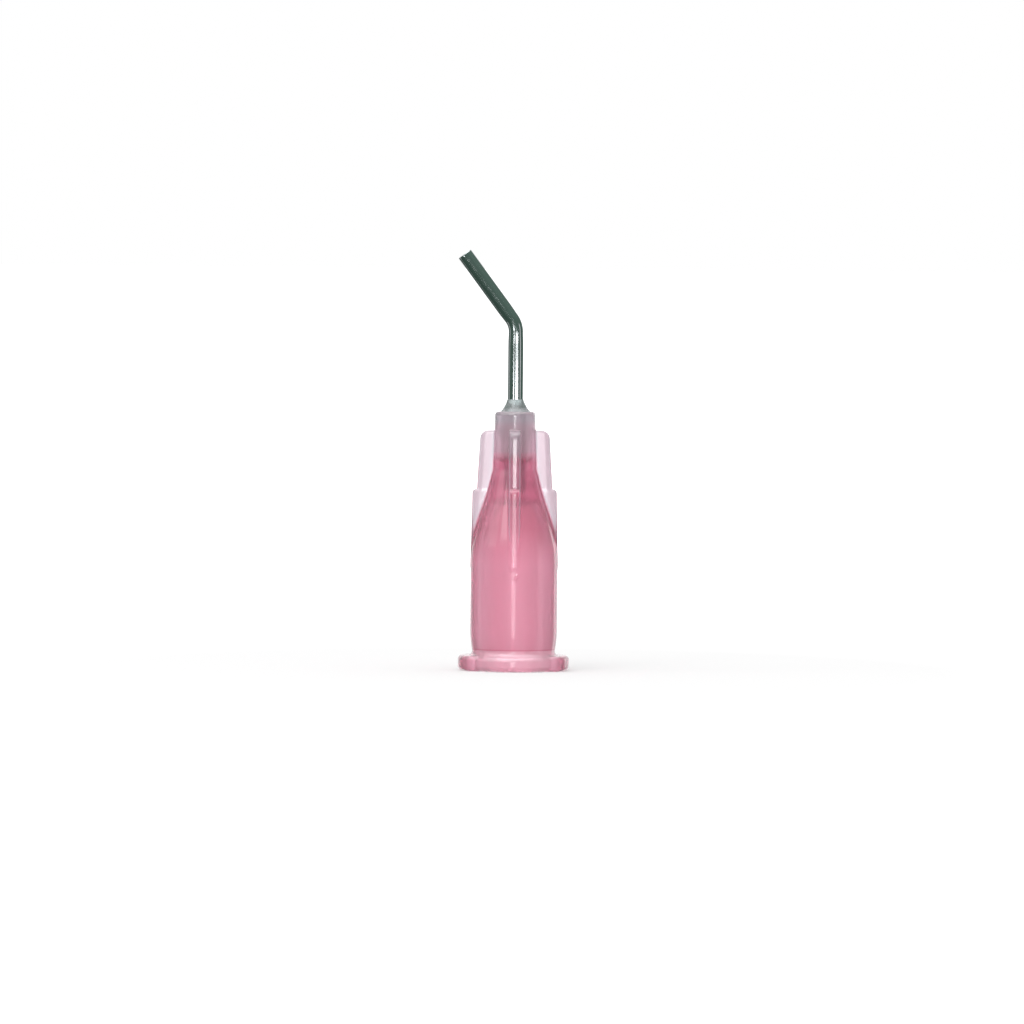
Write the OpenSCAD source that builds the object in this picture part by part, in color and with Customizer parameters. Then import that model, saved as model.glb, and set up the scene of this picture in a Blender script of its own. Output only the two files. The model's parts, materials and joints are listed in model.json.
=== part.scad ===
// Bent dispensing needle tip with a female Luer-lock hub, in millimetres.
// Z runs up the hub's axis from the socket's mouth. The bent leg of the cannula leans towards -X.

/* [Lock flange] */
// Diameter over the two lock lugs
lug_d = 7.8; // [7.5:0.05:8.2]
// Width of a lug between its parallel flanks
lug_w = 4.3; // [3.4:0.1:5]
// Rounding of a lug's upright corners
lug_corner = 0.4; // [0.2:0.05:0.6]
// Diameter of the rim between the lugs
rim_d = 6.7; // [6.5:0.05:7.1]
// Thickness of the flange
flange_h = 1.07; // [0.9:0.01:1.4]
// Rounding of the flange's outer edges
flange_round = 0.38; // [0.1:0.01:0.42]
// Fillet where the flange meets the barrel
root_fillet = 0.22; // [0.1:0.01:0.3]

/* [Hub body] */
// Diameter of the barrel
barrel_d = 6.1; // [5.9:0.05:6.3]
// Height at which the shoulder starts to curve in
shoulder_z = 8.3; // [7.8:0.1:9]
// Radius of the shoulder's arc
shoulder_r = 17.8; // [14:0.1:24]
// Wall between the shoulder's arc and the hollow under it
shoulder_wall = 0.85; // [0.7:0.05:1]

/* [Neck] */
// Height of the neck's foot, where the shoulder ends
neck_z = 13.1; // [12.9:0.1:13.8]
// Height of the hub's top
hub_h = 18.15; // [17.5:0.05:19]
// Diameter of the neck at its foot
neck_foot_d = 2.96; // [2.9:0.02:3.3]
// Diameter of the neck at its top
neck_top_d = 2.84; // [2.8:0.02:2.9]
// Rounding of the neck's top edge
neck_round = 0.26; // [0.1:0.01:0.3]

/* [Luer socket] */
// Diameter of the socket's mouth
luer_mouth_d = 4.315; // [4.27:0.005:4.32]
// Taper of the socket, as the loss of diameter for each unit of depth
luer_taper = 0.06; // [0.055:0.001:0.065]
// Lead-in chamfer at the mouth
mouth_chamfer = 0.12; // [0.05:0.01:0.2]
// Depth at which the taper ends and the wall goes straight up into the hollow
luer_depth = 8.0; // [7.5:0.1:8.4]
// Height at which the hollow starts to close over the socket
vault_z = 11.3; // [11:0.1:11.6]
// Height over which it closes, up to the channel
vault_h = 0.7; // [0.5:0.05:0.9]
// Length of the channel that joins the hollow to the cannula
channel_len = 0.5; // [0.3:0.05:0.8]

/* [Ribs] */
// Number of ribs round the hub
rib_count = 4; // [2:1:6]
// Thickness of a rib, whose outer edge is a full round
rib_t = 0.84; // [0.6:0.02:1]
// How far inside the barrel's surface the lower tier's edge ends at its top
lower_rib_in = 0.07; // [0:0.01:0.15]
// Height of the lower tier's top
lower_rib_z = 12.7; // [12.4:0.05:12.9]
// Draft of the lower tier's edge, in degrees
lower_draft = 1.2; // [0.8:0.1:2]
// Rounding of the lower tier's top corner
lower_corner = 0.3; // [0.1:0.01:0.35]
// How far inside the lower tier's edge the upper tier's edge ends at its top
upper_rib_in = 0.54; // [0.45:0.01:0.7]
// Drop from the hub's top to the upper tier's top
upper_rib_drop = 1.33; // [1:0.01:1.6]
// Draft of the upper tier's edge, in degrees
upper_draft = 3.2; // [2:0.1:4]
// Rounding of the upper tier's top corner
upper_corner = 0.6; // [0.3:0.02:0.7]
// Length of rib on the barrel, below the shoulder, before its edge starts to run out
rib_tail = 1.0; // [0.5:0.1:2]
// Height over which the rib's edge runs out
rib_runout = 1.6; // [0.8:0.1:2]

/* [Cannula] */
// Outer diameter of the cannula
cannula_od = 1.07; // [0.9:0.01:1.1]
// Bore of the cannula
cannula_id = 0.69; // [0.5:0.01:0.75]
// Straight length that stands clear of the hub's top, up to the corner of the bend
stem_len = 6.1; // [5:0.1:8]
// Length of the bent leg, from the corner of the bend
leg_len = 6.12; // [5:0.02:8]
// Angle that the leg is bent away from the hub's axis
bend_angle = 36.5; // [20:0.5:60]
// Radius of the bend at the tube's centre line
bend_r = 1.6; // [1.2:0.1:3]
// Deburring chamfer at the cannula's ends
deburr = 0.05; // [0.02:0.01:0.08]

/* [Adhesive] */
// Wall between the adhesive well and the neck's outside, at the hub's top
well_wall = 0.38; // [0.3:0.01:0.5]
// Loss of radius from the well's top to its floor
well_draft = 0.08; // [0.02:0.01:0.15]
// Depth of the well
well_depth = 3.28; // [2.5:0.02:3.6]
// Depth of the cone that leads the cannula from the well into its bore
well_lead = 0.35; // [0.2:0.05:0.5]
// Radial clearance round the cannula in its bore
bore_gap = 0.03; // [0.02:0.01:0.05]
// Height of the adhesive's meniscus above the hub's top
meniscus_h = 0.86; // [0.6:0.02:1.2]
// Radius of the meniscus's hollow flank
meniscus_r = 2.4; // [1.5:0.1:4]
// Thickness that the meniscus tapers down to at its upper edge
meniscus_lip = 0.03; // [0.02:0.01:0.06]

/* [Hidden] */
$fn = 96;

// Overlap that joins one solid's own forms, and by which cuts run past faces
lap = 0.2;

// Radii that more than one form shares
barrel_r = barrel_d / 2;
neck_foot_r = neck_foot_d / 2;
neck_top_r = neck_top_d / 2;
tube_r = cannula_od / 2;
lumen_r = cannula_id / 2;
bore_r = tube_r + bore_gap;
// The channel is midway between the tube's bore and its outside, so its top is a step that the tube stands on
channel_r = (tube_r + lumen_r) / 2;
well_top_r = neck_top_r - well_wall;
well_floor_r = well_top_r - well_draft;
lower_rib_r = barrel_r - lower_rib_in;
upper_rib_r = lower_rib_r - upper_rib_in;

// The socket's wall at height z, and the straight wall above it
function luer_r(z) = (luer_mouth_d - luer_taper * z) / 2;
relief_r = luer_r(luer_depth);

// Heights up the inside of the hub and of the upper ribs
roof_z = vault_z + vault_h;
seat_z = roof_z + channel_len;
well_z = hub_h - well_depth;
upper_rib_z = hub_h - upper_rib_drop;

// Centre of a circle of radius r through points a and b, on the left of the way from a to b
function arc_centre(a, b, r) =
    let (d = b - a, half = norm(d) / 2, h = sqrt(r * r - half * half))
    (a + b) / 2 + h * [-d.y, d.x] / norm(d);

// The shoulder's arc runs from the barrel's top edge to the neck's foot
shoulder_centre = arc_centre([barrel_r, shoulder_z], [neck_foot_r, neck_z], shoulder_r);

// Heights of the cannula's bend
corner_z = hub_h + stem_len;
bend_cut = bend_r * tan(bend_angle / 2);
bend_z = corner_z - bend_cut;

// A disc's half section with rounded outer edges, from the axis out to radius r
module rounded_disc_section(r, h, round) {
    square([r - round, h]);
    translate([0, round]) square([r, h - 2 * round]);
    translate([r - round, round]) circle(round);
    translate([r - round, h - round]) circle(round);
}

// A concave fillet's section in the corner of a wall at x = wall_x and a floor at y = floor_y
module corner_fillet_section(wall_x, floor_y, r) {
    difference() {
        translate([wall_x - lap, floor_y - lap]) square(r + lap);
        translate([wall_x + r, floor_y + r]) circle(r);
    }
}

// Outside of the hub without its lugs and ribs, as a half section
module hub_section() {
    rounded_disc_section(rim_d / 2, flange_h, flange_round);
    corner_fillet_section(barrel_r, flange_h, root_fillet);
    square([barrel_r, shoulder_z]);
    intersection() {
        translate(shoulder_centre) circle(shoulder_r);
        translate([0, shoulder_z - lap]) square([barrel_r, neck_z - shoulder_z + lap]);
    }
    polygon([
        [0, neck_z - lap],
        [neck_foot_r, neck_z - lap],
        [neck_foot_r, neck_z],
        [neck_top_r, hub_h - neck_round],
        [0, hub_h - neck_round],
    ]);
    translate([0, hub_h - 2 * neck_round]) square([neck_top_r - neck_round, 2 * neck_round]);
    translate([neck_top_r - neck_round, hub_h - neck_round]) circle(neck_round);
}

// One rib tier's side outline: rounded top corner, drafted edge, and a run-out below foot_z
module tier_outline(r, top_z, draft, corner, foot_z) {
    slope = tan(draft);
    foot_r = r + slope * (top_z - foot_z);
    polygon([
        [0, foot_z - rib_runout],
        [foot_r - 2 * lap, foot_z - rib_runout],
        [foot_r, foot_z],
        [r + slope * corner, top_z - corner],
        [0, top_z - corner],
    ]);
    translate([0, top_z - 2 * corner]) square([r - corner, 2 * corner]);
    translate([r - corner, top_z - corner]) circle(corner);
}

// One rib tier: a blade with a full-round nose that leans in by its draft, trimmed to its side outline
module rib_tier(r, top_z, draft, corner, foot_z) {
    intersection() {
        translate([r, 0, top_z]) rotate([0, -draft, 0]) translate([-r - lap, 0, -2 * top_z])
            linear_extrude(3 * top_z) {
                translate([0, -rib_t / 2]) square([r + lap - rib_t / 2, rib_t]);
                translate([r + lap - rib_t / 2, 0]) circle(rib_t / 2);
            }
        translate([0, rib_t, 0]) rotate([90, 0, 0]) linear_extrude(2 * rib_t)
            tier_outline(r, top_z, draft, corner, foot_z);
    }
}

// Two-tier rib on the +X side; the upper tier runs out inside the lower one
module rib() {
    rib_tier(lower_rib_r, lower_rib_z, lower_draft, lower_corner, shoulder_z - rib_tail);
    rib_tier(upper_rib_r, upper_rib_z, upper_draft, upper_corner, lower_rib_z - lower_corner);
}

// Plan of the two lugs: a bar across the axis with arc ends and rounded corners
module lugs_plan() {
    side_y = lug_w / 2 - lug_corner;
    end_x = sqrt(pow(lug_d / 2 - lug_corner, 2) - side_y * side_y);
    square([2 * end_x, lug_w], center = true);
    for (x = [-end_x, end_x]) for (y = [-side_y, side_y]) translate([x, y]) circle(lug_corner);
    intersection() {
        circle(lug_d / 2);
        for (x = [-2 * end_x, 2 * end_x])
            polygon([[0, 0], [x, -2 * side_y], [x, 2 * side_y]]);
    }
}

// The two lock lugs, with the flange's rounded edge round their ends
module lugs() {
    intersection() {
        rotate_extrude() rounded_disc_section(lug_d / 2, flange_h, flange_round);
        linear_extrude(flange_h) lugs_plan();
    }
}

// Tapered socket, straight relief, vaulted hollow and channel up to the seat, as a half section to cut away
module socket_section() {
    polygon([
        [0, -lap],
        [luer_r(0) + mouth_chamfer + lap, -lap],
        [luer_r(mouth_chamfer), mouth_chamfer],
        [relief_r, luer_depth],
        [0, luer_depth],
    ]);
    intersection() {
        polygon([
            [0, luer_depth - lap],
            [relief_r, luer_depth - lap],
            [relief_r, vault_z],
            [channel_r, roof_z],
            [channel_r, seat_z],
            [0, seat_z],
        ]);
        translate(shoulder_centre) circle(shoulder_r - shoulder_wall);
    }
}

// Cannula bore and adhesive well, as a half section to cut away
module well_section() {
    translate([0, seat_z]) square([bore_r, well_z - seat_z]);
    polygon([
        [0, well_z - well_lead],
        [bore_r, well_z - well_lead],
        [well_floor_r, well_z],
        [well_top_r, hub_h],
        [well_top_r, hub_h + lap],
        [0, hub_h + lap],
    ]);
}

// Moulded polypropylene hub
module hub() {
    color([0.84, 0.52, 0.61, 0.75]) difference() {
        union() {
            rotate_extrude() hub_section();
            lugs();
            for (i = [0:rib_count - 1]) rotate([0, 0, i * 360 / rib_count]) rib();
        }
        rotate_extrude() socket_section();
        rotate_extrude() well_section();
    }
}

// Straight length of tube from z = 0 up, with its free end deburred inside and out at the top
module tube_with_end(len) {
    rotate_extrude() polygon([
        [lumen_r, 0],
        [tube_r, 0],
        [tube_r, len - deburr],
        [tube_r - deburr, len],
        [lumen_r + deburr, len],
        [lumen_r, len - deburr],
    ]);
}

// Bent steel cannula
module cannula() {
    stem = bend_z - seat_z;
    leg = leg_len - bend_cut;
    color([0.62, 0.66, 0.64]) {
        translate([0, 0, bend_z]) mirror([0, 0, 1]) tube_with_end(stem);
        translate([-bend_r, 0, bend_z]) rotate([90, 0, 0]) rotate_extrude(angle = bend_angle)
            translate([bend_r, 0]) difference() {
                circle(tube_r);
                circle(lumen_r);
            }
        translate([-bend_r, 0, bend_z]) rotate([0, -bend_angle, 0]) translate([bend_r, 0, 0])
            tube_with_end(leg);
    }
}

// Adhesive's half section: the well's fill and the meniscus that climbs the cannula
module adhesive_section() {
    lip_r = tube_r + meniscus_lip;
    lip_z = hub_h + meniscus_h;
    polygon([
        [tube_r, well_z - well_lead],
        [bore_r, well_z - well_lead],
        [well_floor_r, well_z],
        [well_top_r, hub_h],
        [tube_r, hub_h],
    ]);
    difference() {
        polygon([
            [tube_r, hub_h - lap],
            [well_floor_r, hub_h - lap],
            [well_top_r, hub_h],
            [lip_r, lip_z],
            [tube_r, lip_z],
        ]);
        translate(arc_centre([lip_r, lip_z], [well_top_r, hub_h], meniscus_r)) circle(meniscus_r);
    }
}

// Cured adhesive that bonds the cannula into the hub
module adhesive() {
    color([0.86, 0.88, 0.9, 0.6]) rotate_extrude() adhesive_section();
}

hub();
cannula();
adhesive();
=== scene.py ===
import json
import math
import bpy
import numpy as np
from mathutils import Matrix, Vector


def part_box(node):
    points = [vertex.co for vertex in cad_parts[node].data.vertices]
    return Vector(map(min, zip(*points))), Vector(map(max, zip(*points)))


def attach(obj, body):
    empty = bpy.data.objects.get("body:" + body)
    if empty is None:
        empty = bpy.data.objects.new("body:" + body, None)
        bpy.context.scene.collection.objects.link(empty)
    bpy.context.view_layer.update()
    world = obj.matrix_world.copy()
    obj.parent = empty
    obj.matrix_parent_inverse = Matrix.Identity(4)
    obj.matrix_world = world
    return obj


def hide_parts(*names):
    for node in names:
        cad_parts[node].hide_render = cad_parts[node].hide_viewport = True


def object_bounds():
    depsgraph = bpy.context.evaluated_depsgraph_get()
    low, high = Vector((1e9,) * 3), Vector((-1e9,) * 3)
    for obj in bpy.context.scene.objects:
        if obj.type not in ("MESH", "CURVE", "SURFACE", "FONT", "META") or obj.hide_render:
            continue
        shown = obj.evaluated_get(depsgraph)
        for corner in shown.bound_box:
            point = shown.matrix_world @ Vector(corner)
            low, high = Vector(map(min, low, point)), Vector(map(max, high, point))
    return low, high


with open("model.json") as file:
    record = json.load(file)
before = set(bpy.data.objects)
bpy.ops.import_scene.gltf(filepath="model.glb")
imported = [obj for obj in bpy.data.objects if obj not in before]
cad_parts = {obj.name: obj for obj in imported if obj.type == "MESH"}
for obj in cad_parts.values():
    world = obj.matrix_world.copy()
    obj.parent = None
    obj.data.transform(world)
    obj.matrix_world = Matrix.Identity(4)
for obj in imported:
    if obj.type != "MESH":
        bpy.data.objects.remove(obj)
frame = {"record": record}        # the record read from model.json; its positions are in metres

cadBox = [[float(v) for v in corner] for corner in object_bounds()]
mounts = {mount["name"]: mount for mount in frame["record"]["mounts"]}
mm = 0.001


def toLinear(hexColour, alpha=1.0):
    # each sRGB channel c becomes c/12.92 below 0.04045, and ((c + 0.055)/1.055)^2.4 above it
    channels = [int(hexColour[i:i + 2], 16) / 255 for i in (1, 3, 5)]
    return [c / 12.92 if c <= 0.04045 else ((c + 0.055) / 1.055) ** 2.4 for c in channels] + [alpha]


def grey(level):
    # the same linear level in all three channels
    return (level, level, level, 1)


def addNode(tree, kind, values=None, links=None, stops=None, **settings):
    # one node with its own settings, its plain socket values, its links from other nodes' outputs,
    # and for a colour ramp its stops as (place, linear colour) pairs
    node = tree.nodes.new(kind)
    for name, value in settings.items():
        setattr(node, name, value)
    for socket, value in (values or {}).items():
        node.inputs[socket].default_value = value
    for socket, source in (links or {}).items():
        tree.links.new(source, node.inputs[socket])
    if stops:
        elements = node.color_ramp.elements
        elements.remove(elements[1])
        elements[0].position, elements[0].color = stops[0]
        for place, colour in stops[1:]:
            elements.new(place).color = colour
    return node


def newMaterial(name):
    material = bpy.data.materials.new(name)
    material.use_nodes = True
    tree = material.node_tree
    tree.nodes.clear()
    return material, tree, addNode(tree, "ShaderNodeOutputMaterial")


def meshFromRing(name, grid, uv=None):
    # grid[row, column] is a point in mm; rows and columns both close on themselves, so the quads make a
    # closed ring; uv has one row and one column more than grid, so that the seam has its own values
    rows, columns = grid.shape[:2]
    index = np.arange(rows * columns).reshape(rows, columns)
    nextRow, nextColumn = np.roll(index, -1, 0), np.roll(index, -1, 1)
    quads = np.stack([index, nextColumn, np.roll(nextRow, -1, 1), nextRow], -1).reshape(-1, 4)
    mesh = bpy.data.meshes.new(name)
    mesh.vertices.add(rows * columns)
    mesh.vertices.foreach_set("co", (grid.reshape(-1) * mm).astype(np.float32))
    mesh.loops.add(quads.size)
    mesh.loops.foreach_set("vertex_index", quads.ravel().astype(np.int32))
    mesh.polygons.add(len(quads))
    mesh.polygons.foreach_set("loop_start", np.arange(0, quads.size, 4, dtype=np.int32))
    mesh.polygons.foreach_set("use_smooth", np.ones(len(quads), dtype=bool))
    mesh.update(calc_edges=True)
    if uv is not None:
        corners = np.stack([uv[:-1, :-1], uv[:-1, 1:], uv[1:, 1:], uv[1:, :-1]], 2)
        mesh.uv_layers.new(name="alongTube").data.foreach_set("uv", corners.astype(np.float32).ravel())
    mesh.validate()
    piece = bpy.data.objects.new(name, mesh)
    bpy.context.scene.collection.objects.link(piece)
    return piece


def finishPiece(piece, node, material):
    piece.data.materials.append(material)
    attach(piece, "root")
    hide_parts(node)
    print(f"{piece.name}: {len(piece.data.polygons) * 2} triangles")


cameraSetup = dict(
    target=(-0.175, 0.0, 11.1),   # mm, the point in the middle of the picture
    distance=598.2,            # mm
    lens=300.0,                # mm, on a 36 mm sensor
    azimuth=0.0,               # degrees, 0 looks along +Y
    elevation=1.9,             # degrees above the horizontal
    roll=0.45,                 # degrees that the part leans to the right
)


def wayFrom(azimuth, elevation):
    # the direction (sin a cos e, -cos a cos e, sin e) of an azimuth and an elevation in degrees
    a, e = math.radians(azimuth), math.radians(elevation)
    return Vector((math.sin(a) * math.cos(e), -math.cos(a) * math.cos(e), math.sin(e)))


def placeCamera(setup):
    # the camera stands the distance away from the target in the way of its azimuth and elevation, and looks back
    away = wayFrom(setup["azimuth"], setup["elevation"])
    data = bpy.data.cameras.new("studioCamera")
    data.lens, data.sensor_width = setup["lens"], 36.0
    data.clip_start, data.clip_end = 0.05, 20.0
    camera = bpy.data.objects.new("studioCamera", data)
    bpy.context.scene.collection.objects.link(camera)
    lean = Matrix.Rotation(math.radians(setup["roll"]), 4, "Z")
    turn = away.to_track_quat("Z", "Y").to_matrix().to_4x4() @ lean
    camera.matrix_world = Matrix.Translation((Vector(setup["target"]) + away * setup["distance"]) * mm) @ turn
    bpy.context.scene.camera = camera


placeCamera(cameraSetup)
print("camera placed")


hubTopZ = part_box("hub")[1].z / mm
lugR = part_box("hub")[1].x / mm

hubShape = dict(               # mm and degrees
    rimR=3.35, flangeH=1.07, flangeRound=0.38, rootFillet=0.38,
    lugHalfW=2.15, lugCorner=0.4, lugEdge=0.3, lugFillet=0.08,
    barrelR=3.05, shoulderZ=8.3, shoulderArcR=17.8, shoulderWall=0.85, shoulderSoft=0.12,
    shoulderRunOn=0.5,         # how far the shoulder's arc goes on inside the neck
    neckZ=13.1, neckFootR=1.48, neckMidR=1.443, neckTopR=1.42, neckRound=0.26, neckFillet=0.8,
    ribHalfT=0.42, ribNose=0.32, ribEdge=0.09, ribFillet=0.1, tierFillet=0.05,
    lowerRibR=2.98, lowerRibZ=12.7, lowerDraft=1.2, lowerCorner=0.3,
    upperRibR=2.44, upperRibZ=hubTopZ - 1.33, upperDraft=3.2, upperCorner=0.6,
    ribTailZ=7.3, ribRunOut=0.25,
    gateZ=6.62, gateX=0.2, gateHigh=0.05, gateLong=0.2, gateWide=0.085, gateTilt=28,     # the gate's mark
    mouthR=2.1575, taper=0.03, mouthChamfer=0.12, luerDepth=8.0,
    vaultZ=(9.52, 11.56), roofZ=12.0, seatZ=12.5, channelR=0.44, boreR=0.525,
    wellZ=hubTopZ - 3.28, wellLead=0.35, wellFloorR=0.96, wellTopR=1.04,
    # degrees from a rib's middle and steps between: close over the ribs and over the lugs' corners
    columnBands=[(0, 18.4, 23), (18.4, 29, 6), (29, 42, 11), (42, 45, 2)],
)


def roundJoin(a, b, radius):
    # union of two distances with a fillet: min(a, b), less the length by which both come within the radius
    u, v = np.maximum(radius - a, 0), np.maximum(radius - b, 0)
    return np.maximum(radius, np.minimum(a, b)) - np.hypot(u, v)


def roundMeet(a, b, radius):
    # overlap of two distances with a rounded edge: max(a, b), plus the length by which both are within the radius
    u, v = np.maximum(radius + a, 0), np.maximum(radius + b, 0)
    return np.minimum(-radius, np.maximum(a, b)) + np.hypot(u, v)


def arcCentre(a, b, radius):
    # the centre lies off the middle of a to b, square to it, at the height that the radius gives
    d, middle = np.subtract(b, a), np.add(a, b) / 2
    half = np.hypot(*d) / 2
    return middle + math.sqrt(radius ** 2 - half ** 2) * np.array([-d[1], d[0]]) / (2 * half)


shoulderCentre = arcCentre((hubShape["barrelR"], hubShape["shoulderZ"]),
                           (hubShape["neckFootR"], hubShape["neckZ"]), hubShape["shoulderArcR"])


def ribTier(reach, side, z, tipR, topZ, draft, corner, s):
    # a blade: overlap of a flat strip, an end plane that leans in by its draft and a round-cornered top, with
    # rounded edges; below ribTailZ the end plane runs out into the barrel
    tip = tipR + math.tan(math.radians(draft)) * (topZ - z) - s["ribRunOut"] * np.maximum(s["ribTailZ"] - z, 0)
    blade = roundMeet(reach - tip, np.abs(side) - s["ribHalfT"], s["ribNose"])
    outline = roundMeet(reach - tip, z - topZ, corner)
    return roundMeet(blade, outline, s["ribEdge"])


def roundBody(r, z, s):
    # signed distance to barrel, shoulder arc and drafted neck, with a fillet at the neck's foot
    arc = np.hypot(r - shoulderCentre[0], z - shoulderCentre[1]) - s["shoulderArcR"]
    body = roundMeet(r - s["barrelR"], arc, s["shoulderSoft"])
    body = roundMeet(body, z - s["neckZ"] - s["shoulderRunOn"], 0.01)
    slope = (s["neckFootR"] - s["neckTopR"]) / (hubTopZ - s["neckZ"])
    neck = roundMeet(r - s["neckFootR"] + slope * (z - s["neckZ"]), z - hubTopZ, s["neckRound"])
    return roundJoin(body, neck, s["neckFillet"])


def hubOutside(x, y, z, s):
    # signed distance to the hub's outside: the round body, the flange with its lugs and the four two-tier ribs
    r = np.hypot(x, y)
    slab = np.abs(z - s["flangeH"] / 2) - s["flangeH"] / 2
    rim = roundMeet(r - s["rimR"], slab, s["flangeRound"])
    lugs = roundMeet(roundMeet(r - lugR, np.abs(y) - s["lugHalfW"], s["lugCorner"]), slab, s["lugEdge"])
    body = roundJoin(roundBody(r, z, s), roundJoin(rim, lugs, s["lugFillet"]), s["rootFillet"])
    reach, side = np.maximum(np.abs(x), np.abs(y)), np.minimum(np.abs(x), np.abs(y))
    lower = ribTier(reach, side, z, s["lowerRibR"], s["lowerRibZ"], s["lowerDraft"], s["lowerCorner"], s)
    upper = ribTier(reach, side, z, s["upperRibR"], s["upperRibZ"], s["upperDraft"], s["upperCorner"], s)
    turn = math.radians(s["gateTilt"])
    u = (x - s["gateX"]) * math.sin(turn) + (z - s["gateZ"]) * math.cos(turn)
    v = (x - s["gateX"]) * math.cos(turn) - (z - s["gateZ"]) * math.sin(turn)
    gate = s["gateHigh"] * np.exp(-(u / s["gateLong"]) ** 2 - (v / s["gateWide"]) ** 2) * (y < 0)
    ribs = roundJoin(lower, upper, s["tierFillet"])
    return np.maximum(roundJoin(body, ribs, s["ribFillet"]) - gate, -z)


def spaced(a, b, steps):
    # even steps from a towards b, which is left out
    return np.linspace(a, b, steps + 1)[:-1]


def spacedAlong(corners, steps):
    # even steps from each corner to the next, a number of steps for each stretch; the last corner is left out
    return np.concatenate([spaced(*stretch) for stretch in zip(corners, corners[1:], steps)])


def hubColumns(s):
    # angles of the columns: one quarter turn, the same on both sides of a rib's middle, four times over
    half = np.concatenate([spaced(*band) for band in s["columnBands"]])
    quarter = np.sort(np.concatenate([-half[1:], half, [-45.0]]))
    return np.radians((quarter[None] + 90 * np.arange(4)[:, None]).ravel())


def hubRows(s):
    # rays that the outside is found on: each has a foot (r, z) on the plain body and an elevation in degrees,
    # which turns with the rounded rim and crown and is 45 up the barrel, the shoulder and the neck
    rr, h, fr, nr, br = s["rimR"], s["flangeH"], s["flangeRound"], s["neckRound"], s["barrelR"]
    turn = np.radians(np.linspace(-90, 0, 12))
    lower = np.stack([rr - fr + fr * np.cos(turn), fr + fr * np.sin(turn), np.degrees(turn)], 1)
    turn = np.radians(np.concatenate([np.linspace(0, 45, 15)[1:], np.linspace(45, 62, 5)[1:]]))
    upper = np.stack([rr - fr + fr * np.cos(turn), h - fr + fr * np.sin(turn), np.degrees(turn)], 1)
    arcR = np.linspace(br, s["neckFootR"], 400)
    arcZ = shoulderCentre[1] + np.sqrt(s["shoulderArcR"] ** 2 - (arcR - shoulderCentre[0]) ** 2)
    height = spaced(s["shoulderZ"], s["neckZ"], 62)
    shoulder = np.stack([np.interp(height, arcZ, arcR), height, 45 + 0 * height], 1)
    turn = np.radians(np.linspace(0, 90, 12))
    crown = np.stack([s["neckTopR"] - nr + nr * np.cos(turn), hubTopZ - nr + nr * np.sin(turn),
                      45 + 45 * np.sin(turn)], 1)
    gateFrom, gateTo = s["gateZ"] - 0.4, s["gateZ"] + 0.4          # rows are close over the gate's mark
    barrel = spacedAlong([(br + 0.08, h, 62), (br, 1.3, 55), (br, 1.7, 45), (br, 5.0, 45), (br, gateFrom, 45),
                          (br, gateTo, 45), (br, s["shoulderZ"], 45)], [7, 4, 10, 7, 14, 9])
    neck = spacedAlong([(s["neckFootR"], s["neckZ"], 45), (s["neckMidR"], s["upperRibZ"], 45),
                        (s["neckTopR"], hubTopZ - nr, 45)], [44, 9])
    return np.concatenate([spaced((s["mouthR"] + s["mouthChamfer"], 0, -90), (rr - fr, 0, -90), 5),
                           lower, [[rr, h / 2, 0]], upper, barrel, shoulder, neck, crown,
                           [[s["wellTopR"] + 0.03, hubTopZ, 90]]])


def findOutside(rows, angles, s):
    # march each ray in from outside its foot, by a share of the distance left, until it rests on the surface
    start, share, deepest, steps = 1.7, 0.9, -0.6, 70         # mm along the ray, share, mm along the ray, steps
    foot, elevation = rows[:, None, :2], np.radians(rows[:, None, 2])
    across, up, c, n = np.cos(elevation), np.sin(elevation), np.cos(angles)[None], np.sin(angles)[None]
    along = np.full((len(rows), len(angles)), start)
    for step in range(steps):
        r, z = foot[..., 0] + along * across, foot[..., 1] + along * up
        along = np.maximum(along - share * hubOutside(r * c, r * n, z, s), deepest)
    r, z = foot[..., 0] + along * across, foot[..., 1] + along * up
    return np.stack([r * c, r * n, z], -1)


def hubInside(s):
    # half section from the well's top edge down to the socket's mouth, as (r, z), with small flats at its corners
    wallR = s["shoulderArcR"] - s["shoulderWall"]
    reliefR = s["mouthR"] - s["taper"] * s["luerDepth"]
    arcZ = np.linspace(*s["vaultZ"], 16)[::-1]
    arc = np.stack([shoulderCentre[0] + np.sqrt(wallR ** 2 - (arcZ - shoulderCentre[1]) ** 2), arcZ], 1)
    wellToRoof = spacedAlong([
        (s["wellTopR"], hubTopZ - 0.02), (s["wellFloorR"], s["wellZ"]), (s["boreR"], s["wellZ"] - s["wellLead"]),
        (s["boreR"], s["seatZ"]), (s["channelR"], s["seatZ"]), (s["channelR"], s["roofZ"] + 0.08),
        (s["channelR"] + 0.08, s["roofZ"] - 0.04), (arc[0, 0] - 0.05, arcZ[0] + 0.05)], [9, 4, 5, 2, 3, 2, 8])
    socket = spacedAlong([(reliefR, arcZ[-1] - 0.07), (reliefR, s["luerDepth"]),
                          (s["mouthR"] - s["taper"] * 0.16, 0.16)], [4, 20])
    mouth = [(s["mouthR"] - s["taper"] * 0.12 + 0.005, 0.11), (s["mouthR"] + s["mouthChamfer"] - 0.01, 0.012)]
    return np.concatenate([wellToRoof, arc, socket, mouth])


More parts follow.
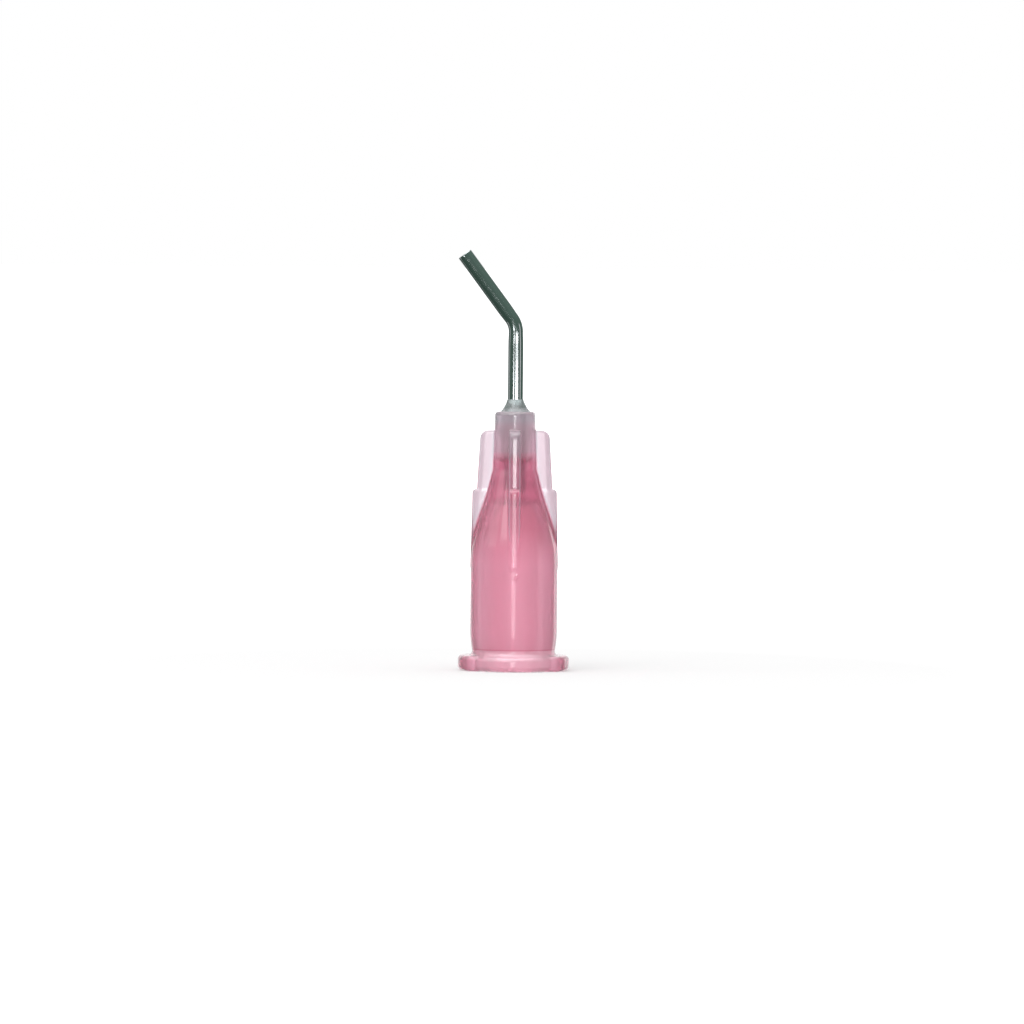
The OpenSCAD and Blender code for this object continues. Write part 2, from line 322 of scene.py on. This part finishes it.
plasticDepth = dict(           # places on the ramp of hubFinish, whose stops are the named depths
    rib=0.0, neck=0.2, barrel=0.4, solid=0.7, flange=0.8, socket=1.0,
    # up the round body: height in mm and depth; the well starts just under its floor, and the wall thins above it
    up=[(7.5, 0.4), (10.0, 0.62), (11.7, 0.62), (12.2, 0.7), (hubShape["wellZ"] - 0.3, 0.7),
        (hubShape["wellZ"] + 0.5, 0.31), (hubTopZ - 1.0, 0.27), (hubTopZ - 0.3, 0.16)],
    fadeFrom=0.05, fade=0.12,  # mm off the body, where a rib's thin side takes over
    noseShare=0.8, noseIn=0.02, noseEdge=0.15,   # share of the body's depth on a rib's nose; mm, where it fades
    lugFrom=2.3, lugWide=1.2, lugShare=0.05,     # mm, mm, how much nearer to solid the lugs are
    paintedHighlightAbove=0.45,            # mm above the flange that take the flange's pale colour: a painted highlight on the barrel's foot and root fillet
)


def findDepth(points, s, d):
    # how deep the plastic is behind each outside point: the body's depth at that height, times the greater of a
    # falling exponential of the distance off the body and the nose's share; the flange has its own, less on lugs,
    # and a band just above it takes the flange's depth too, as a painted highlight
    across, height = np.abs(points[..., :2]), points[..., 2]
    off = roundBody(np.hypot(points[..., 0], points[..., 1]), height, s)
    side = np.exp(-np.maximum(off - d["fadeFrom"], 0) / d["fade"])
    nose = d["noseShare"] * np.clip((s["ribHalfT"] - d["noseIn"] - across.min(-1)) / d["noseEdge"], 0, 1)
    lug = np.clip((across[..., 0] - d["lugFrom"]) / d["lugWide"], 0, 1)
    body = np.interp(height, *np.transpose(d["up"])) * np.maximum(side, nose)
    # the flange's pale colour runs a band above the flange: a painted highlight on the barrel's foot
    return np.where(height < s["flangeH"] + d["paintedHighlightAbove"], d["flange"] - d["lugShare"] * lug, body)


def buildHub(s):
    # rows of the outside from the mouth's edge up to the well, then the turned inside back down: one closed skin
    angles = hubColumns(s)
    outside, section = findOutside(hubRows(s), angles, s), hubInside(s)
    inside = np.stack([section[:, :1] * np.cos(angles), section[:, :1] * np.sin(angles),
                       np.repeat(section[:, 1:], len(angles), 1)], -1)
    piece = meshFromRing("mouldedHub", np.concatenate([outside, inside]))
    depth = np.concatenate([findDepth(outside, s, plasticDepth),
                            np.full(inside.shape[:2], plasticDepth["socket"])])
    layer = piece.data.attributes.new("thickness", "FLOAT", "POINT")
    layer.data.foreach_set("value", depth.astype(np.float32).ravel())
    return piece


hubPiece = buildHub(hubShape)


tipMount = mounts["cannula_tip"]
legWay = np.array(tipMount["axis"])

cannulaShape = dict(           # mm
    outerR=tipMount["dims"]["r_mm"], innerR=0.345, bendR=1.6, deburr=0.05,
    footZ=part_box("cannula")[0].z / mm,
    tip=np.array(tipMount["pos_m"]) / mm + legWay * 0.104,     # the mount ends this far short of the cut face
    flatten=0.045, widen=0.6,  # share by which the bend flattens the tube, and how much of it shows as width
    soften=0.5,                # mm, length over which the flattening dies out
    columns=64,
)


def cannulaPath(s):
    # straight up the axis, round an arc of bendR, then straight on to the tip: points, unit directions, and the
    # share of the flattening, which is 1 in the bend and a bell curve of the distance from it
    bend = math.atan2(-legWay[0], legWay[2])
    cut = s["bendR"] * math.tan(bend / 2)
    legLength = abs(s["tip"][0]) / math.sin(bend) - cut
    bendZ = s["tip"][2] - legWay[2] * (legLength + cut) - cut
    stem = spaced(s["footZ"], bendZ, 39)
    turn = np.linspace(0, bend, 30)
    leg = np.linspace(0, legLength, 28)[1:]
    points = np.concatenate([
        np.stack([stem * 0, stem * 0, stem], 1),
        np.stack([s["bendR"] * (np.cos(turn) - 1), turn * 0, bendZ + s["bendR"] * np.sin(turn)], 1),
    ])
    points = np.concatenate([points, points[-1] + leg[:, None] * legWay])
    angle = np.concatenate([stem * 0, turn, leg * 0 + bend])
    soft = np.concatenate([np.exp(-((stem - bendZ) / s["soften"]) ** 2), turn * 0 + 1,
                           np.exp(-(leg / s["soften"]) ** 2)])
    return points, np.stack([-np.sin(angle), angle * 0, np.cos(angle)], 1), soft


def buildCannula(s):
    # circles carried along the path; the rows go up the outside, over the square-cut end, down the bore and
    # over the foot, round each edge by its deburred quarter circle
    points, ways, soft = cannulaPath(s)
    b, ro, ri = s["deburr"], s["outerR"], s["innerR"]
    length = np.concatenate([[0], np.cumsum(np.linalg.norm(np.diff(points, axis=0), axis=1))])
    total = length[-1]

    def along(v):
        return np.stack([np.interp(v, length, points[:, k]) for k in range(3)], 1), \
            np.stack([np.interp(v, length, ways[:, k]) for k in range(3)], 1), np.interp(v, length, soft)

    clear = 4 * b              # no row of the path this near to an end
    up = np.concatenate([[b], length[(length > clear) & (length < total - clear)], [total - b]])
    edge = np.array([0.0, 0.3, 0.7, 1.0]) * math.pi / 2
    stations = np.concatenate([up, total - b + b * np.sin(edge[1:]), total - b * (1 - np.cos(edge)),
                               up[::-1], b * (1 - np.sin(edge[1:])), b * (1 - np.cos(edge[:-1]))])
    radii = np.concatenate([up * 0 + ro, ro - b + b * np.cos(edge[1:]), ri + b * (1 - np.sin(edge)),
                            up * 0 + ri, ri + b * (1 - np.cos(edge[1:])), ro - b + b * np.sin(edge[:-1])])
    keep = np.concatenate([[True], (np.abs(np.diff(stations)) + np.abs(np.diff(radii))) > 1e-6])
    stations, radii = stations[keep], radii[keep]
    centre, way, flat = along(stations)
    across = np.stack([way[:, 2], way[:, 1] * 0, -way[:, 0]], 1)   # in the bend's plane, square to the path
    turn = np.linspace(0, 2 * math.pi, s["columns"] + 1)
    inPlane = radii[:, None] * (1 - s["flatten"] * flat[:, None]) * np.cos(turn)
    sideways = radii[:, None] * (1 + s["widen"] * s["flatten"] * flat[:, None]) * np.sin(turn)
    grid = centre[:, None] + inPlane[..., None] * across[:, None] + sideways[..., None] * np.array([0, 1, 0])
    uv = np.stack(np.broadcast_arrays(turn[None] * ro, np.append(stations, stations[0])[:, None]), -1)
    return meshFromRing("bentCannula", grid[:, :-1], uv)


cannulaPiece = buildCannula(cannulaShape)


adhesiveShape = dict(          # mm
    innerR=cannulaShape["outerR"] - 0.012,       # a little into the tube, so that no light passes between
    gap=0.006,                 # off the well's wall
    rimIn=0.01, rimUp=0.012,   # where the hollow flank starts at the well's edge
    lipR=0.565, lipZ=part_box("adhesive")[1].z / mm, lipRound=0.02,
    edge=0.004,                # small flats at the rim and the lip
    flankR=2.4, sag=0.02, columns=120,
)


def buildAdhesive(s, hub):
    # half section carried round the axis: up the well's wall, in along the hollow flank to the lip and down the
    # cannula; the flank rises and falls with two slow waves, as a meniscus does that set on its own
    g = s["gap"]
    foot, rim = hub["wellZ"] - hub["wellLead"], (hub["wellTopR"] - s["rimIn"], hubTopZ + s["rimUp"])
    lip = (s["lipR"], s["lipZ"] - s["lipRound"])
    centre = arcCentre(lip, rim, s["flankR"])
    start, end = (math.atan2(p[1] - centre[1], p[0] - centre[0]) for p in (rim, lip))
    turn = np.linspace(start, end, 26)
    section = np.concatenate([
        spacedAlong([(s["innerR"] + s["edge"], foot + 0.03), (hub["wellFloorR"] - g, hub["wellZ"] + g),
                     (hub["wellTopR"] - g, hubTopZ - 0.02)], [6, 12]),
        [(hub["wellTopR"] - s["edge"], hubTopZ + s["edge"])],
        np.stack([centre[0] + s["flankR"] * np.cos(turn), centre[1] + s["flankR"] * np.sin(turn)], 1),
        [(s["lipR"] - 0.012, s["lipZ"] - s["edge"])],
        spaced((s["innerR"], s["lipZ"]), (s["innerR"], foot + 0.02), 20),
    ])
    angles = np.linspace(0, 2 * math.pi, s["columns"] + 1)[:-1]
    climb = np.clip((section[:, 1] - hubTopZ) / (s["lipZ"] - hubTopZ), 0, 1)[:, None]
    wave = s["sag"] * (np.sin(2 * angles + 0.6) + 0.6 * np.sin(3 * angles + 2.0))[None] - 1.6 * s["sag"]
    r = section[:, :1] + 0 * angles[None]
    z = section[:, 1:] + climb * (1 - climb) * 4 * wave
    return meshFromRing("adhesiveFillet", np.stack([r * np.cos(angles), r * np.sin(angles), z], -1))


adhesivePiece = buildAdhesive(adhesiveShape, hubShape)


hubFinish = dict(
    # what the surface lets past on the thin ribs, the neck, the barrel, the solid shoulder, and flange and socket
    # the flange's pale colour also covers a band of the barrel's foot, where it is a painted highlight
    rib="#cfc4cb", neck="#d5d9de", barrel="#ecbbca", solid="#d07c95", flange="#fde0e8",
    streaks="#fff6f9",         # faint streaks that the melt leaves in the dye
    tint="#fdf1f7", density=1000.0,      # a millimetre takes away density * (1 - tint) / 1000 of each colour
    ior=1.49, haze=0.42, hazeVaries=0.05, through=0.83,      # haze blurs what is seen through the plastic
    gloss=0.12, glossIor=1.49,           # the moulded skin is smoother than the inside
    grain=0.06, grainCoarser=4,          # mm, fine spark-eroded texture; drawn this much coarser so that it shows
    grainHigh=0.004, grainShows=0.25,    # mm, share
    flow=1.4, flowStretch=0.12,          # mm, spacing of the faint flow lines; their scale up the hub
    flowHigh=0.03, flowShows=0.2,        # mm, share
)


def mouldedPolypropylene(f):
    # natural polypropylene with pink dye, injection moulded: almost clear where thin and deeper pink where thick,
    # hazy inside under a glossy skin, with a fine mould grain and faint flow lines that run up the hub
    material, tree, out = newMaterial("mouldedPolypropylene")
    place = addNode(tree, "ShaderNodeTexCoord").outputs["Object"]
    upHub = addNode(tree, "ShaderNodeMapping", {"Scale": (1, 1, f["flowStretch"])}, {"Vector": place})
    grain = addNode(tree, "ShaderNodeTexNoise",
                    {"Scale": 1 / (f["grain"] * f["grainCoarser"] * mm), "Detail": 3.0, "Roughness": 0.6},
                    {"Vector": place})
    flow = addNode(tree, "ShaderNodeTexNoise", {"Scale": 1 / (f["flow"] * mm), "Detail": 4.0, "Roughness": 0.55},
                   {"Vector": upHub.outputs["Vector"]})
    rough = addNode(tree, "ShaderNodeMapRange",
                    {"From Min": 0.3, "From Max": 0.7,
                     "To Min": f["haze"] - f["hazeVaries"], "To Max": f["haze"] + f["hazeVaries"]},
                    {"Value": flow.outputs["Fac"]})
    thick = addNode(tree, "ShaderNodeAttribute", attribute_name="thickness")
    depth = addNode(tree, "ShaderNodeValToRGB", links={"Fac": thick.outputs["Fac"]},
                    stops=[(plasticDepth[part], toLinear(f[part]))
                           for part in ("rib", "neck", "barrel", "solid", "flange")])
    dye = addNode(tree, "ShaderNodeValToRGB", links={"Fac": flow.outputs["Fac"]},
                  stops=[(0.3, toLinear(f["streaks"])), (0.7, toLinear("#ffffff"))])
    colour = addNode(tree, "ShaderNodeMix", {0: 1.0}, {6: depth.outputs["Color"], 7: dye.outputs["Color"]},
                     data_type="RGBA", blend_type="MULTIPLY")
    fine = addNode(tree, "ShaderNodeBump", {"Strength": f["grainShows"], "Distance": f["grainHigh"] * mm},
                   {"Height": grain.outputs["Fac"]})
    lines = addNode(tree, "ShaderNodeBump", {"Strength": f["flowShows"], "Distance": f["flowHigh"] * mm},
                    {"Height": flow.outputs["Fac"], "Normal": fine.outputs["Normal"]})
    shader = addNode(tree, "ShaderNodeBsdfPrincipled",
                     {"IOR": f["ior"], "Transmission Weight": f["through"], "Coat Weight": 1.0,
                      "Coat Roughness": f["gloss"], "Coat IOR": f["glossIor"]},
                     {"Base Color": colour.outputs[2], "Roughness": rough.outputs["Result"],
                      "Normal": lines.outputs["Normal"], "Coat Normal": lines.outputs["Normal"]})
    inside = addNode(tree, "ShaderNodeVolumeAbsorption",
                     {"Color": toLinear(f["tint"]), "Density": f["density"]})
    tree.links.new(shader.outputs["BSDF"], out.inputs["Surface"])
    tree.links.new(inside.outputs["Volume"], out.inputs["Volume"])
    return material


finishPiece(hubPiece, "hub", mouldedPolypropylene(hubFinish))


steelFinish = dict(
    colour="#bbbec0", dark="#a5a9ab",
    roughness=0.13, roughVaries=0.04,
    lineWide=0.05, lineLong=4.0,         # mm, draw lines, coarser than the real 0.01 mm so that they show
    lineHigh=0.001, lineShows=0.05,      # mm, share
    cloud=0.625,               # mm, patches of slightly better and worse polish
)


def drawnStainless(f):
    # austenitic stainless tube, cold drawn: grey metal whose fine lines run along the tube and stretch its
    # highlights; the tube's own map has millimetres round it and along it
    material, tree, out = newMaterial("drawnStainlessTube")
    uv = addNode(tree, "ShaderNodeUVMap", uv_map="alongTube").outputs["UV"]
    lineMap = addNode(tree, "ShaderNodeMapping", {"Scale": (1 / f["lineWide"], 1 / f["lineLong"], 1)},
                      {"Vector": uv})
    lines = addNode(tree, "ShaderNodeTexNoise", {"Scale": 1.0, "Detail": 3.0, "Roughness": 0.6},
                    {"Vector": lineMap.outputs["Vector"]})
    cloud = addNode(tree, "ShaderNodeTexNoise", {"Scale": 1 / f["cloud"], "Detail": 3.0}, {"Vector": uv})
    shade = addNode(tree, "ShaderNodeValToRGB", links={"Fac": lines.outputs["Fac"]},
                    stops=[(0.3, toLinear(f["dark"])), (0.7, toLinear(f["colour"]))])
    rough = addNode(tree, "ShaderNodeMapRange",
                    {"From Min": 0.3, "From Max": 0.7,
                     "To Min": f["roughness"] - f["roughVaries"], "To Max": f["roughness"] + f["roughVaries"]},
                    {"Value": cloud.outputs["Fac"]})
    bump = addNode(tree, "ShaderNodeBump", {"Strength": f["lineShows"], "Distance": f["lineHigh"] * mm},
                   {"Height": lines.outputs["Fac"]})
    shader = addNode(tree, "ShaderNodeBsdfPrincipled", {"Metallic": 1.0},
                     {"Base Color": shade.outputs["Color"], "Roughness": rough.outputs["Result"],
                      "Normal": bump.outputs["Normal"]})
    tree.links.new(shader.outputs["BSDF"], out.inputs["Surface"])
    return material


finishPiece(cannulaPiece, "cannula", drawnStainless(steelFinish))


adhesiveFinish = dict(
    colour="#e2ecec", dark="#ced8d6",    # where clearest and where haziest
    tint="#f8fdfc", density=1000.0,      # a millimetre takes away density * (1 - tint) / 1000 of each colour
    ior=1.5, smoothest=0.07, roughest=0.18, through=0.78,
    cloud=0.9,                 # mm, patches of haze
    ripple=0.5, rippleHigh=0.02, rippleShows=0.3,      # mm, mm, share: a surface that set on its own is uneven
)


def curedAcrylate(f):
    # ultraviolet-cured acrylate adhesive, dispensed and set in place: wet gloss, faintly grey-green and a little
    # hazy
    material, tree, out = newMaterial("curedAcrylateAdhesive")
    place = addNode(tree, "ShaderNodeTexCoord").outputs["Object"]
    ripple = addNode(tree, "ShaderNodeTexNoise", {"Scale": 1 / (f["ripple"] * mm), "Detail": 2.0},
                     {"Vector": place})
    haze = addNode(tree, "ShaderNodeTexNoise", {"Scale": 1 / (f["cloud"] * mm), "Detail": 4.0}, {"Vector": place})
    tone = addNode(tree, "ShaderNodeValToRGB", links={"Fac": haze.outputs["Fac"]},
                   stops=[(0.35, toLinear(f["dark"])), (0.65, toLinear(f["colour"]))])
    rough = addNode(tree, "ShaderNodeMapRange",
                    {"From Min": 0.3, "From Max": 0.7, "To Min": f["smoothest"], "To Max": f["roughest"]},
                    {"Value": haze.outputs["Fac"]})
    bump = addNode(tree, "ShaderNodeBump", {"Strength": f["rippleShows"], "Distance": f["rippleHigh"] * mm},
                   {"Height": ripple.outputs["Fac"]})
    shader = addNode(tree, "ShaderNodeBsdfPrincipled", {"IOR": f["ior"], "Transmission Weight": f["through"]},
                     {"Base Color": tone.outputs["Color"], "Roughness": rough.outputs["Result"],
                      "Normal": bump.outputs["Normal"]})
    inside = addNode(tree, "ShaderNodeVolumeAbsorption",
                     {"Color": toLinear(f["tint"]), "Density": f["density"]})
    tree.links.new(shader.outputs["BSDF"], out.inputs["Surface"])
    tree.links.new(inside.outputs["Volume"], out.inputs["Volume"])
    return material


finishPiece(adhesivePiece, "adhesive", curedAcrylate(adhesiveFinish))
print("pieces and finishes made")


studio = dict(
    roomLow="#4a6156", roomHigh="#748d81",     # what the steel mirrors to the sides and in front
    roomTurns=(-35, 35),       # degrees up, from the one to the other
    backdrop=1.0, backdropEdge=(0.22, 0.14),   # shares of a half turn from straight behind: begins, is full
    table=0.5, tableEdge=(-41, -51),           # degrees up: begins, is full
    ceiling=2.5, ceilingEdge=(45, 65),
    # seen through the plastic: boards beside the backdrop that light its edges, and the room in front
    sideFrom=0.26, sideTo=0.44, sideEdge=0.03, sideLevel=1.6, frontLevel=0.9,
    ambient=0.9,               # level of the world for matt surfaces
)

# degrees, azimuth as the camera's, soft edges across and up; level as mirrors see it and as the plastic does;
# the last one lights the tube inside the hub
softboxes = [
    dict(azimuth=76, halfWidth=8, low=-35, high=16, edges=(2.5, 2.5), level=1.0, through=0.0),
    dict(azimuth=-104, halfWidth=6, low=-35, high=40, edges=(2.5, 2.5), level=0.8, through=0.0),
    dict(azimuth=30, halfWidth=18, low=-50, high=50, edges=(6.0, 10.0), level=0.0, through=4.0),
]


def bandMask(tree, angle, low, high, edge):
    # 1 between low and high, falling to 0 over one edge at each: the shorter way round from the middle to the
    # angle, all in degrees, put through a falling range
    off = addNode(tree, "ShaderNodeMath", {1: (low + high) / 2}, {0: angle}, operation="SUBTRACT")
    size = addNode(tree, "ShaderNodeMath", {1: 180.0}, {0: off.outputs["Value"]}, operation="PINGPONG")
    mask = addNode(tree, "ShaderNodeMapRange",
                   {"From Min": (high - low + edge) / 2, "From Max": (high - low - edge) / 2},
                   {"Value": size.outputs["Value"]})
    return mask.outputs["Result"]


def buildWorld(f, boxes):
    # the world is white to the camera; mirrors see a white backdrop behind, a grey room to the sides and in
    # front, a grey table below, a pale ceiling above and the softboxes; the plastic sees backdrop, boards and room
    world = bpy.data.worlds.new("studioWorld")
    bpy.context.scene.world = world
    world.use_nodes = True
    world.cycles.sampling_method = "NONE"
    tree = world.node_tree
    tree.nodes.clear()
    out = addNode(tree, "ShaderNodeOutputWorld")

    # bearing is 0 straight behind and 180 in front, up is 90 overhead, both in degrees; half is |bearing| / 180
    place = addNode(tree, "ShaderNodeTexCoord").outputs["Generated"]
    way = addNode(tree, "ShaderNodeSeparateXYZ", links={"Vector": place}).outputs
    bearing = addNode(tree, "ShaderNodeMath", links={0: way["X"], 1: way["Y"]}, operation="ARCTAN2").outputs[0]
    bearing = addNode(tree, "ShaderNodeMath", links={0: bearing}, operation="DEGREES").outputs[0]
    up = addNode(tree, "ShaderNodeMath", links={0: way["Z"]}, operation="ARCSINE").outputs[0]
    up = addNode(tree, "ShaderNodeMath", links={0: up}, operation="DEGREES").outputs[0]
    half = addNode(tree, "ShaderNodeMath", links={0: bearing}, operation="ABSOLUTE").outputs[0]
    half = addNode(tree, "ShaderNodeMath", {1: 180.0}, {0: half}, operation="DIVIDE").outputs[0]

    # what mirrors see: the room, with backdrop, table and ceiling laid over it
    height = addNode(tree, "ShaderNodeMapRange", {"From Min": f["roomTurns"][0], "From Max": f["roomTurns"][1]},
                     {"Value": up})
    mirrored = addNode(tree, "ShaderNodeMix", {6: toLinear(f["roomLow"]), 7: toLinear(f["roomHigh"])},
                       {0: height.outputs["Result"]}, data_type="RGBA").outputs[2]
    for value, part in [(half, "backdrop"), (up, "table"), (up, "ceiling")]:
        begins, full = f[part + "Edge"]
        share = addNode(tree, "ShaderNodeMapRange", {"From Min": begins, "From Max": full}, {"Value": value})
        mirrored = addNode(tree, "ShaderNodeMix", {7: grey(f[part])}, {0: share.outputs["Result"], 6: mirrored},
                           data_type="RGBA").outputs[2]

    # what the plastic sees: the backdrop, the boards beside it and the room in front
    side, front = grey(f["sideLevel"]), grey(f["frontLevel"])
    through = addNode(tree, "ShaderNodeValToRGB", links={"Fac": half},
                      stops=[(f["sideFrom"], grey(1)), (f["sideFrom"] + f["sideEdge"], side),
                             (f["sideTo"] - f["sideEdge"], side), (f["sideTo"], front)]).outputs["Color"]

    for box in boxes:
        middle = 180 - box["azimuth"]
        across = bandMask(tree, bearing, middle - box["halfWidth"], middle + box["halfWidth"], box["edges"][0])
        tall = bandMask(tree, up, box["low"], box["high"], box["edges"][1])
        lit = addNode(tree, "ShaderNodeMath", links={0: across, 1: tall}, operation="MULTIPLY").outputs[0]
        if box["level"]:
            mirrored = addNode(tree, "ShaderNodeMix", {7: grey(box["level"])}, {0: lit, 6: mirrored},
                               data_type="RGBA").outputs[2]
        if box["through"]:
            through = addNode(tree, "ShaderNodeMix", {7: grey(box["through"])}, {0: lit, 6: through},
                              data_type="RGBA").outputs[2]

    rays = addNode(tree, "ShaderNodeLightPath").outputs
    gloss = addNode(tree, "ShaderNodeMix", {6: grey(f["ambient"])}, {0: rays["Is Glossy Ray"], 7: mirrored},
                    data_type="RGBA")
    plastic = addNode(tree, "ShaderNodeMix",
                      links={0: rays["Is Transmission Ray"], 6: gloss.outputs[2], 7: through}, data_type="RGBA")
    camera = addNode(tree, "ShaderNodeMix", {7: grey(1)}, {0: rays["Is Camera Ray"], 6: plastic.outputs[2]},
                     data_type="RGBA")
    sky = addNode(tree, "ShaderNodeBackground", {"Strength": 1.0}, {"Color": camera.outputs[2]})
    tree.links.new(sky.outputs["Background"], out.inputs["Surface"])


floorFinish = dict(
    paper=0.5,                 # share of light that the paper gives back
    # what is added to reach the backdrop's white: near for the camera, near through the plastic, and far away
    topUp=0.32, topUpPlastic=0.6, topUpFar=1.0,
    near=30, far=160,          # mm from the part
    reach=6.0,                 # m, half the paper's side
    fibre=0.8, fibreHigh=0.02, fibreShows=0.1,         # mm, mm, share
)


def buildFloor(f):
    # matt white paper: it keeps the part's shadow, and a glow that only camera, gloss and plastic see tops it up
    # to the backdrop's white
    mesh = bpy.data.meshes.new("paperFloor")
    corners = [(x * f["reach"], y * f["reach"], 0) for x, y in [(-1, -1), (1, -1), (1, 1), (-1, 1)]]
    mesh.from_pydata(corners, [], [(0, 1, 2, 3)])
    floor = bpy.data.objects.new("paperFloor", mesh)
    floor.location.z = cadBox[0][2] - 0.01 * mm
    floor.visible_glossy = False         # mirrors show the world's own table, so the steel stays dark low down
    bpy.context.scene.collection.objects.link(floor)
    material, tree, out = newMaterial("mattPaper")
    place = addNode(tree, "ShaderNodeTexCoord").outputs["Object"]
    fibre = addNode(tree, "ShaderNodeTexNoise", {"Scale": 1 / (f["fibre"] * mm), "Detail": 3.0},
                    {"Vector": place})
    bump = addNode(tree, "ShaderNodeBump", {"Strength": f["fibreShows"], "Distance": f["fibreHigh"] * mm},
                   {"Height": fibre.outputs["Fac"]})
    paper = addNode(tree, "ShaderNodeBsdfDiffuse", {"Color": grey(f["paper"])},
                    {"Normal": bump.outputs["Normal"]})
    rays = addNode(tree, "ShaderNodeLightPath").outputs
    seen = rays["Is Camera Ray"]
    for ray in ("Is Glossy Ray", "Is Transmission Ray"):
        seen = addNode(tree, "ShaderNodeMath", links={0: seen, 1: rays[ray]}, operation="MAXIMUM").outputs[0]
    close = addNode(tree, "ShaderNodeMapRange", {"To Min": f["topUp"], "To Max": f["topUpPlastic"]},
                    {"Value": rays["Is Transmission Ray"]})
    away = addNode(tree, "ShaderNodeVectorMath", links={0: place}, operation="LENGTH")
    share = addNode(tree, "ShaderNodeMapRange",
                    {"From Min": f["near"] * mm, "From Max": f["far"] * mm, "To Max": f["topUpFar"]},
                    {"Value": away.outputs["Value"], "To Min": close.outputs["Result"]})
    level = addNode(tree, "ShaderNodeMath", links={0: seen, 1: share.outputs["Result"]}, operation="MULTIPLY")
    glow = addNode(tree, "ShaderNodeEmission", {"Color": grey(1)}, {"Strength": level.outputs["Value"]})
    both = addNode(tree, "ShaderNodeAddShader", links={0: paper.outputs["BSDF"], 1: glow.outputs["Emission"]})
    tree.links.new(both.outputs["Shader"], out.inputs["Surface"])
    mesh.materials.append(material)


# azimuth and elevation as the camera's; metres away, metres wide and high; level of the face; what it lights
lamps = [
    dict(name="keySoftbox", azimuth=-25, elevation=40, away=1.0, size=(0.6, 0.6), level=3.0, only=None),
    dict(name="fillSoftbox", azimuth=-70, elevation=30, away=1.0, size=(0.6, 0.6), level=1.2, only=None),
    dict(name="overhead", azimuth=0, elevation=80, away=1.0, size=(1.0, 1.0), level=0.9, only=None),
    dict(name="plasticStrip", azimuth=-1, elevation=2, away=0.5, size=(0.09, 0.24), level=4.4, only="plastic"),
    dict(name="noseCard", azimuth=-1, elevation=4.6, away=0.15, size=(0.03, 0.014), level=9.0, only="plastic"),
    dict(name="edgeStrip", azimuth=140, elevation=2, away=0.5, size=(0.10, 0.24), level=1.4, only="plastic"),
    dict(name="steelCard", azimuth=18, elevation=-1.5, away=0.1, size=(0.07, 0.014), level=6.0, only="steel"),
    dict(name="steelCardLeft", azimuth=-28, elevation=0.3, away=0.1, size=(0.028, 0.008), level=5.0, only="steel"),
]


def placeLamps(setups, groups):
    # a lamp's power is pi * area * level, so its face shows that level; a lamp kept for one group lights only it
    middle = Vector((0, 0, (cadBox[0][2] + cadBox[1][2]) / 2))
    receivers = {name: bpy.data.collections.new(name + "Pieces") for name in groups}
    for name, pieces in groups.items():
        for piece in pieces:
            receivers[name].objects.link(piece)
    for f in setups:
        away = wayFrom(f["azimuth"], f["elevation"])
        data = bpy.data.lights.new(f["name"], "AREA")
        data.shape = "RECTANGLE"
        data.size, data.size_y = f["size"]
        data.energy = math.pi * data.size * data.size_y * f["level"]
        lamp = bpy.data.objects.new(f["name"], data)
        lamp.location = middle + away * f["away"]
        lamp.rotation_euler = away.to_track_quat("Z", "Y").to_euler()
        bpy.context.scene.collection.objects.link(lamp)
        if f["only"]:
            lamp.light_linking.receiver_collection = receivers[f["only"]]


buildWorld(studio, softboxes)
buildFloor(floorFinish)
placeLamps(lamps, {"plastic": [hubPiece, adhesivePiece], "steel": [cannulaPiece]})

scene = bpy.context.scene
scene.view_settings.view_transform = "Standard"
print("studio lit")
